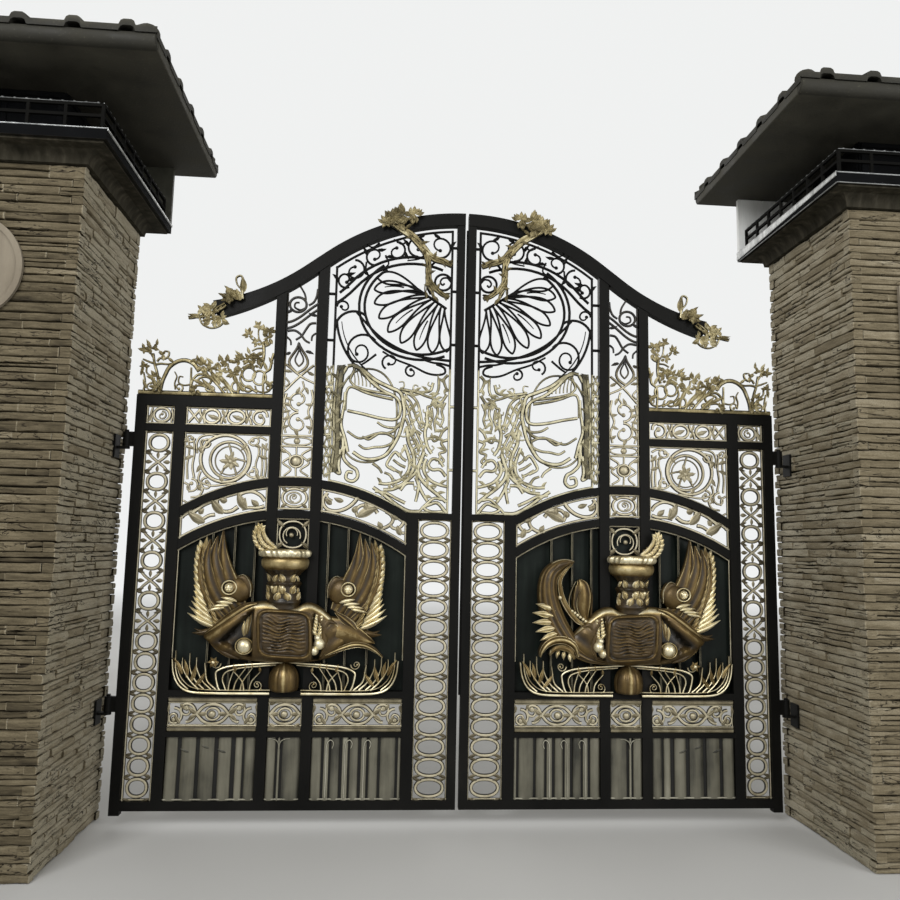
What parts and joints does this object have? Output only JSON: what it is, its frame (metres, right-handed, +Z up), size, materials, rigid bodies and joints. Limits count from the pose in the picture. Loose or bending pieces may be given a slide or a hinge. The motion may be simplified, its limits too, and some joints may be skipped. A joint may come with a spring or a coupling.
{
  "type": "ornamental iron driveway gate",
  "caption": "Pair of ornate iron gate leaves with an ogee top rail, gilt crests and scrollwork, hinged between stone gate pillars with tiled caps.",
  "frame": {"origin": "at ground level midway between the pillars, in the middle of their depth", "axes": "+X to the right seen from the drive, +Y inwards through the gateway, +Z up"},
  "size_m": [7.24, 1.51, 4.6247],
  "materials": {
    "stone": "split ledgestone, rough",
    "render": "smooth sand-coloured render",
    "cap_grey": "painted mortar, weathered",
    "roof_tile": "dark clay tiles",
    "screen_grey": "matt pale grey",
    "frame_black": "satin black",
    "patina": "dull gold rubbed over black",
    "gilt": "gold-bronze paint, burnished high spots",
    "flute_grey": "grey-beige paint with worn ribs"
  },
  "bodies": {
    "root": {"pillar_left": "stone", "pillar_right": "stone", "cap_left": "cap_grey", "cap_right": "cap_grey", "roof_left": "roof_tile", "roof_right": "roof_tile", "front_plaques": "render", "lantern_piers": "cap_grey", "cap_railings": "frame_black", "rear_screens": "screen_grey", "hinge_brackets": "frame_black"},
    "left_leaf": {"stiles_left": "frame_black", "lower_rails_left": "frame_black", "arch_rails_left": "frame_black", "shoulder_rails_left": "frame_black", "camelback_rail_left": "frame_black", "flute_panels_left": "flute_grey", "scroll_band_left": "patina", "ring_strips_left": "patina", "backing_sheet_left": "frame_black", "arch_scrolls_left": "patina", "crest_shield_left": "gilt", "crest_wings_left": "gilt", "crest_feet_left": "gilt", "fan_panel_left": "frame_black", "vine_panel_left": "patina", "side_strip_left": "patina", "shoulder_panel_left": "patina", "shoulder_cresting_left": "gilt", "leaf_sprays_left": "gilt", "hinge_eyes_left": "frame_black"},
    "right_leaf": {"stiles_right": "frame_black", "lower_rails_right": "frame_black", "arch_rails_right": "frame_black", "shoulder_rails_right": "frame_black", "camelback_rail_right": "frame_black", "flute_panels_right": "flute_grey", "scroll_band_right": "patina", "ring_strips_right": "patina", "backing_sheet_right": "frame_black", "arch_scrolls_right": "patina", "crest_shield_right": "gilt", "crest_wings_right": "gilt", "crest_feet_right": "gilt", "fan_panel_right": "frame_black", "vine_panel_right": "patina", "side_strip_right": "patina", "shoulder_panel_right": "patina", "shoulder_cresting_right": "gilt", "leaf_sprays_right": "gilt", "hinge_eyes_right": "frame_black", "meeting_bead": "frame_black"}
  },
  "joints": [
    {"name": "left_hinge", "type": "hinge", "parent": "root", "child": "left_leaf", "pos_m": [-2.05, 0.3, 0.66], "axis": [0, 0, 1], "range_deg": [0, 90]},
    {"name": "right_hinge", "type": "hinge", "parent": "root", "child": "right_leaf", "pos_m": [2.05, 0.3, 0.66], "axis": [0, 0, -1], "range_deg": [0, 90]}
  ]
}
